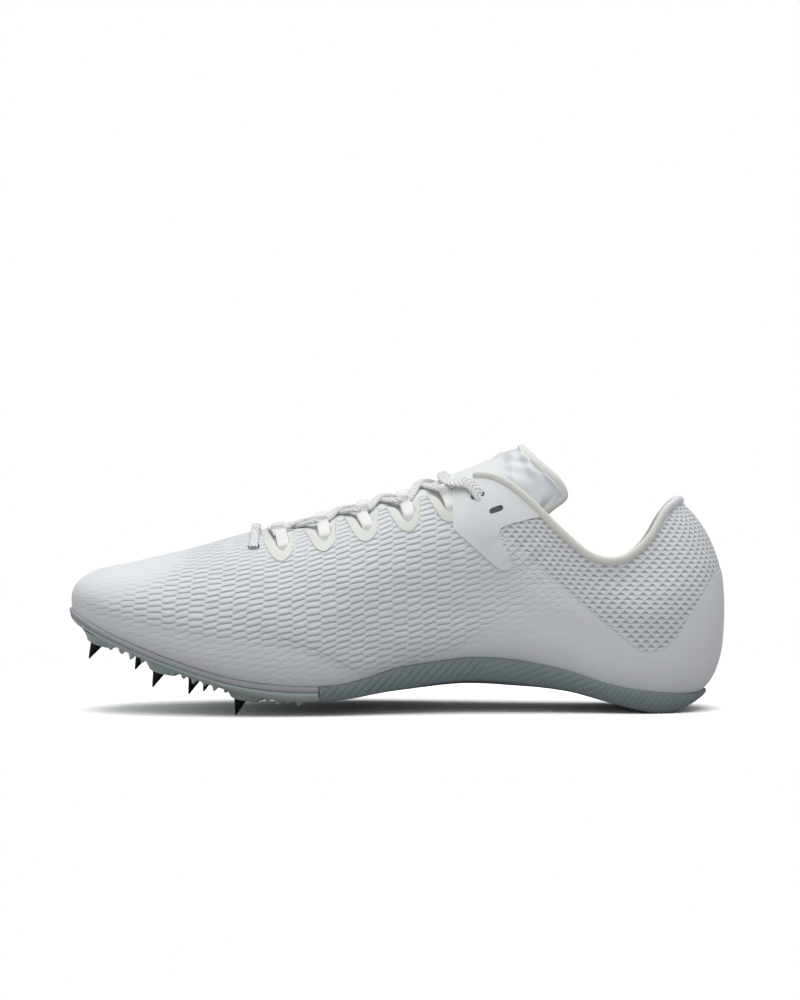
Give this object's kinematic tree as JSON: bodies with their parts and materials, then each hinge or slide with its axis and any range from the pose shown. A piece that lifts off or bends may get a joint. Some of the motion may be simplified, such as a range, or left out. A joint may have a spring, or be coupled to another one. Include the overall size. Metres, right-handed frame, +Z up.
{
  "type": "track spike shoe",
  "caption": "Low-cut sprint spike shoe for the right foot, with a knit upper, tied throat, foam heel wedge and a forefoot plate with screw-in spikes.",
  "frame": {"origin": "middle of the whole shoe's box on the floor it stands on", "axes": "+Z up, -X towards the toe, -Y the medial side and +Y the lateral side of a right shoe"},
  "size_m": [0.2854, 0.0982, 0.1144],
  "materials": {
    "knit": "matte",
    "overlay": "satin",
    "film": "satin",
    "piping": "matte",
    "tongue_cloth": "satin",
    "sockliner": "matte",
    "foam": "matte",
    "lip": "matte",
    "plate": "satin",
    "spike_steel": "satin",
    "lace_braid": "satin",
    "webbing": "gloss"
  },
  "bodies": {
    "root": {"upper": "knit", "heel_counter": "overlay", "eyestay_medial": "film", "eyestay_lateral": "film", "collar_piping": "piping", "tongue": "tongue_cloth", "insole": "sockliner", "forefoot_midsole": "lip", "spike_plate": "plate", "spike_1": "spike_steel", "spike_2": "spike_steel", "spike_3": "spike_steel", "spike_4": "spike_steel", "spike_5": "spike_steel", "spike_6": "spike_steel", "spike_7": "spike_steel", "midsole": "foam", "lace": "lace_braid", "webbing_medial_1": "webbing", "webbing_lateral_1": "webbing", "webbing_medial_2": "webbing", "webbing_lateral_2": "webbing", "webbing_medial_3": "webbing", "webbing_lateral_3": "webbing", "webbing_medial_4": "webbing", "webbing_lateral_4": "webbing", "webbing_medial_5": "webbing", "webbing_lateral_5": "webbing"}
  },
  "joints": []
}
